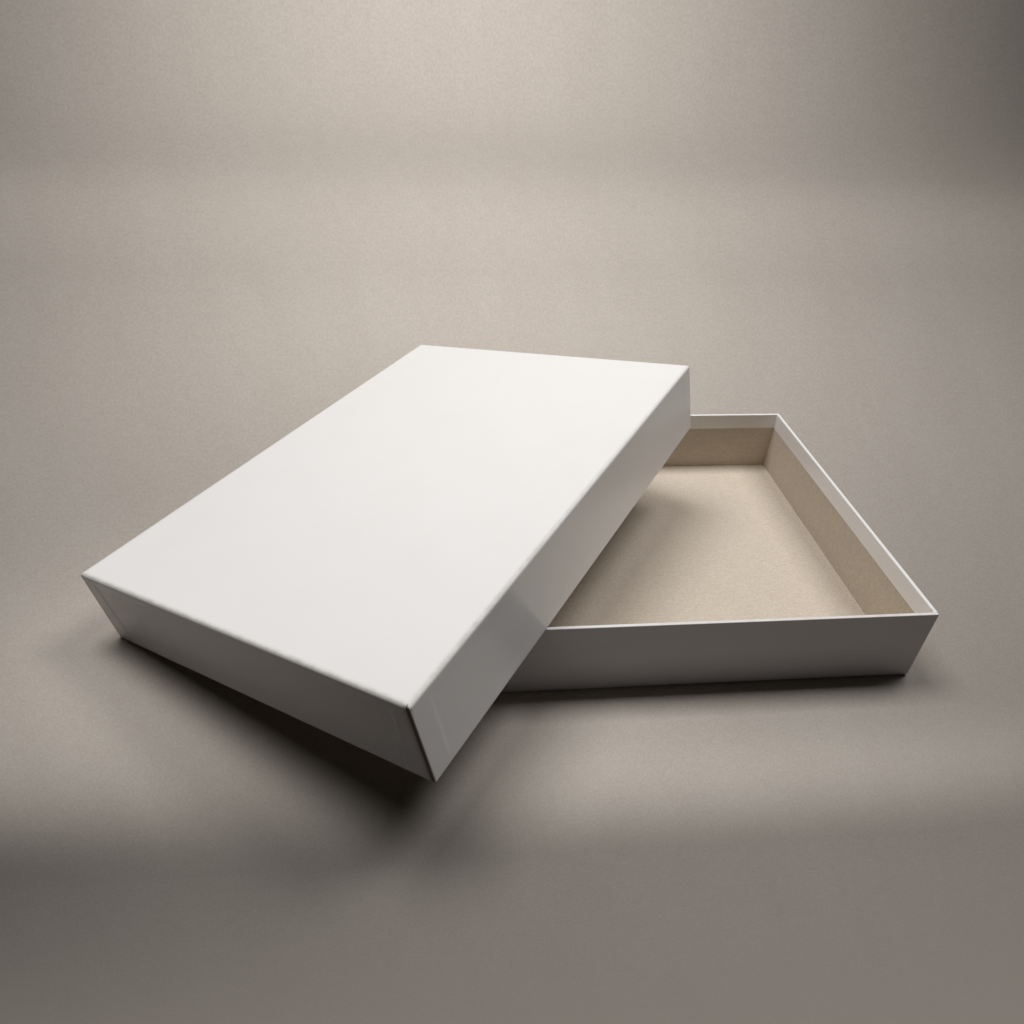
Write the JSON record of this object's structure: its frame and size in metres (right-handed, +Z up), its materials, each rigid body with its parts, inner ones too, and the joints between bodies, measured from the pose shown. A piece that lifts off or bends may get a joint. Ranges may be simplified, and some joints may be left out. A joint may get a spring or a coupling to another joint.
{
  "type": "two-piece paper storage box",
  "caption": "Shallow rigid set-up box for A4 papers, white paper over greyboard, with its lift-off lid taken off and leaning across the open tray.",
  "frame": {"origin": "middle of the tray's underside, on the surface that it stands on", "axes": "+X to the tray's right along its long front wall, +Y to its back, +Z up"},
  "size_m": [0.4658, 0.3942, 0.1119],
  "materials": {
    "white_paper": "smooth coated paper with a slight sheen",
    "greyboard": "matt, fine fibres and specks",
    "stay_paper": "matt brown gummed paper"
  },
  "bodies": {
    "base": {"base_board": "greyboard", "base_wrap": "white_paper", "base_stay_front_left": "stay_paper", "base_stay_back_left": "stay_paper", "base_stay_front_right": "stay_paper", "base_stay_back_right": "stay_paper"},
    "lid": {"lid_board": "greyboard", "lid_wrap": "white_paper", "lid_stay_front_left": "stay_paper", "lid_stay_back_left": "stay_paper", "lid_stay_front_right": "stay_paper", "lid_stay_back_right": "stay_paper"}
  },
  "joints": [
    {"name": "lid_lift", "type": "slide", "parent": "base", "child": "lid", "axis": [0, 0, 1], "range_m": [0, 0.12]}
  ]
}
